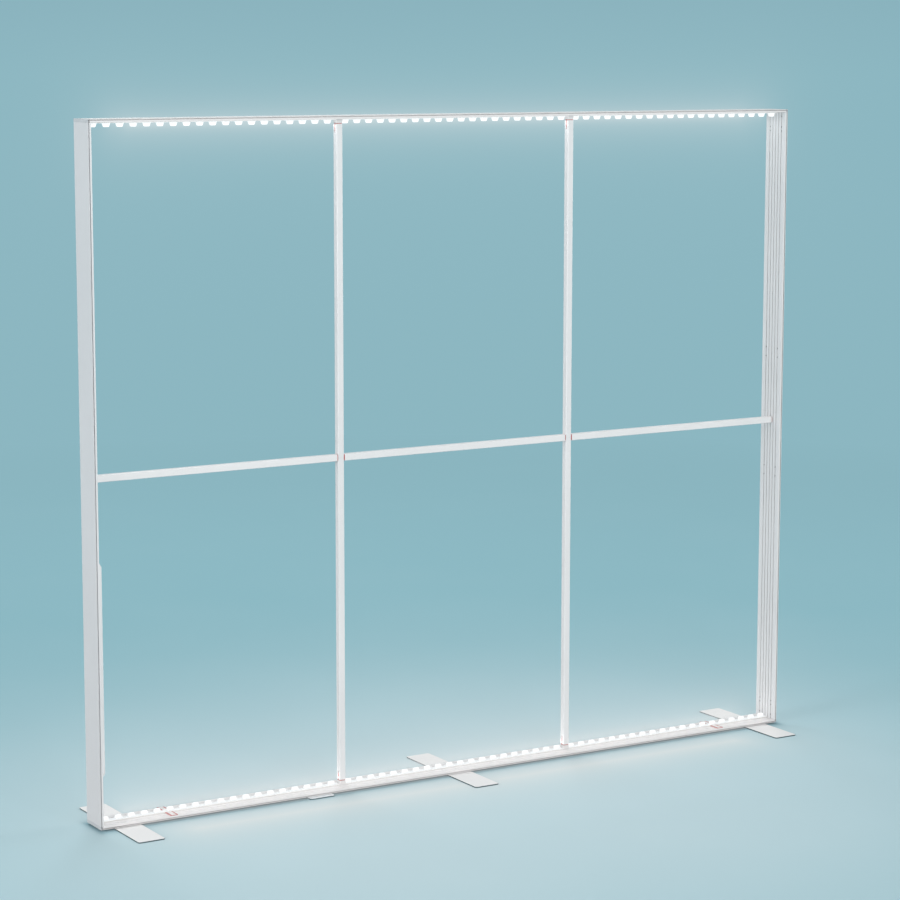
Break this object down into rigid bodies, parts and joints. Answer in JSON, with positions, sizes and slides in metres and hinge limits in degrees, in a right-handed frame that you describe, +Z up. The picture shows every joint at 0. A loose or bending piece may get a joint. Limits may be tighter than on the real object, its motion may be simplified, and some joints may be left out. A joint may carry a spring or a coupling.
{
  "type": "lightbox display wall",
  "caption": "Free-standing lightbox wall: slotted white frame, lens rows along its top and bottom rails, crossing support poles and flat swivel feet.",
  "frame": {"origin": "centre of the wall's footprint, on the floor that the feet stand on", "axes": "+X along the wall to the right as seen from the front, +Y to the back, +Z up"},
  "size_m": [3, 0.516, 2.492],
  "materials": {
    "white_profile": "satin",
    "corner_plastic": "satin",
    "zinc_steel": "satin",
    "white_pole": "satin",
    "grey_socket": "satin",
    "red_plastic": "satin",
    "light_board": "satin",
    "clear_lens": "gloss",
    "supply_housing": "satin",
    "driver_board": "matte",
    "black_inlet": "satin",
    "white_foot": "satin"
  },
  "bodies": {
    "wall": {"bottom_rail_left": "white_profile", "bottom_rail_middle": "white_profile", "bottom_rail_right": "white_profile", "top_rail_left": "white_profile", "top_rail_middle": "white_profile", "top_rail_right": "white_profile", "left_post_lower": "white_profile", "left_post_upper": "white_profile", "right_post_lower": "white_profile", "right_post_upper": "white_profile", "left_post_joiner": "zinc_steel", "right_post_joiner": "zinc_steel", "corner_bottom_left": "corner_plastic", "corner_bottom_right": "corner_plastic", "corner_top_left": "corner_plastic", "corner_top_right": "corner_plastic", "bottom_rail_joiner_left": "grey_socket", "bottom_rail_joiner_right": "grey_socket", "top_rail_joiner_left": "grey_socket", "top_rail_joiner_right": "grey_socket", "bottom_light_board_left": "light_board", "bottom_light_board_middle": "light_board", "bottom_light_board_right": "light_board", "top_light_board_left": "light_board", "top_light_board_middle": "light_board", "top_light_board_right": "light_board", "bottom_lens_row_left": "clear_lens", "bottom_lens_row_middle": "clear_lens", "bottom_lens_row_right": "clear_lens", "top_lens_row_left": "clear_lens", "top_lens_row_middle": "clear_lens", "top_lens_row_right": "clear_lens", "feed_bridge_left": "red_plastic", "feed_bridge_right": "red_plastic", "upright_left_bottom": "white_pole", "upright_left_top": "white_pole", "upright_right_bottom": "white_pole", "upright_right_top": "white_pole", "level_pole_left": "white_pole", "level_pole_middle": "white_pole", "level_pole_right": "white_pole", "cross_connector_left": "red_plastic", "cross_connector_right": "red_plastic", "power_supply_housing": "supply_housing", "power_supply_driver": "driver_board", "mains_inlet": "black_inlet", "pivot_bolt_left": "zinc_steel", "pivot_bolt_middle": "zinc_steel", "pivot_bolt_right": "zinc_steel", "joint_pad": "white_foot"},
    "left_foot": {"foot_left": "white_foot"},
    "middle_foot": {"foot_middle": "white_foot"},
    "right_foot": {"foot_right": "white_foot"},
    "plug_left_bottom": {"end_plug_left_bottom": "red_plastic"},
    "plug_left_top": {"end_plug_left_top": "red_plastic"},
    "plug_right_bottom": {"end_plug_right_bottom": "red_plastic"},
    "plug_right_top": {"end_plug_right_top": "red_plastic"},
    "plug_left_side": {"side_plug_left": "red_plastic"},
    "plug_right_side": {"side_plug_right": "red_plastic"}
  },
  "joints": [
    {"name": "left_foot_turn", "type": "hinge", "parent": "wall", "child": "left_foot", "pos_m": [-1.395, 0, 0.004], "axis": [0, 0, 1], "range_deg": [-90, 90]},
    {"name": "middle_foot_turn", "type": "hinge", "parent": "wall", "child": "middle_foot", "pos_m": [-0.018, 0, 0.004], "axis": [0, 0, 1], "range_deg": [-90, 90]},
    {"name": "right_foot_turn", "type": "hinge", "parent": "wall", "child": "right_foot", "pos_m": [1.395, 0, 0.004], "axis": [0, 0, 1], "range_deg": [-90, 90]},
    {"name": "left_bottom_latch", "type": "slide", "parent": "wall", "child": "plug_left_bottom", "axis": [0, 0, 1], "range_m": [0, 0.0087], "stiffness_N_per_m": 600, "springref_m": -0.006},
    {"name": "left_top_latch", "type": "slide", "parent": "wall", "child": "plug_left_top", "axis": [0, 0, -1], "range_m": [0, 0.0087], "stiffness_N_per_m": 600, "springref_m": -0.006},
    {"name": "right_bottom_latch", "type": "slide", "parent": "wall", "child": "plug_right_bottom", "axis": [0, 0, 1], "range_m": [0, 0.0087], "stiffness_N_per_m": 600, "springref_m": -0.006},
    {"name": "right_top_latch", "type": "slide", "parent": "wall", "child": "plug_right_top", "axis": [0, 0, -1], "range_m": [0, 0.0087], "stiffness_N_per_m": 600, "springref_m": -0.006},
    {"name": "left_side_latch", "type": "slide", "parent": "wall", "child": "plug_left_side", "axis": [1, 0, 0], "range_m": [0, 0.0035], "stiffness_N_per_m": 600, "springref_m": -0.006},
    {"name": "right_side_latch", "type": "slide", "parent": "wall", "child": "plug_right_side", "axis": [-1, 0, 0], "range_m": [0, 0.0035], "stiffness_N_per_m": 600, "springref_m": -0.006}
  ]
}
